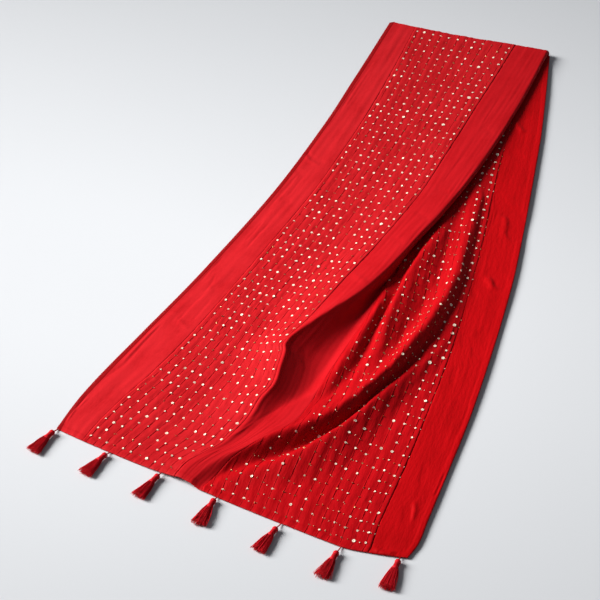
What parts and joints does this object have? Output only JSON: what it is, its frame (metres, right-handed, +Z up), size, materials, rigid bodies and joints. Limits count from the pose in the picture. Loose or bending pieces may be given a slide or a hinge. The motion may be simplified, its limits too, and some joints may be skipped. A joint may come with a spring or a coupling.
{
  "type": "dupatta stole",
  "caption": "Silk stole folded across its length and laid flat: sequinned, pintucked panels between plain strips, a deep pleat, soft folds and a tasselled hem.",
  "frame": {"origin": "middle of the stole as it lies, on the surface that it rests on", "axes": "+X across the stole towards its lifted side, +Y from the tasselled hem to the cross fold, +Z up"},
  "size_m": [0.5514, 1.2094, 0.0316],
  "materials": {
    "border": "soft silk sheen, slubbed",
    "panel": "soft silk sheen, pintucked",
    "band": "soft silk sheen, slubbed",
    "under": "soft silk sheen",
    "tassel": "twisted silk thread"
  },
  "bodies": {
    "root": {"border_left": "border", "panel_left": "panel", "band_centre": "band", "panel_right": "panel", "border_right": "border", "under_layers": "under", "tassel_1": "tassel", "tassel_2": "tassel", "tassel_3": "tassel", "tassel_4": "tassel", "tassel_5": "tassel", "tassel_6": "tassel", "tassel_7": "tassel"}
  },
  "joints": []
}
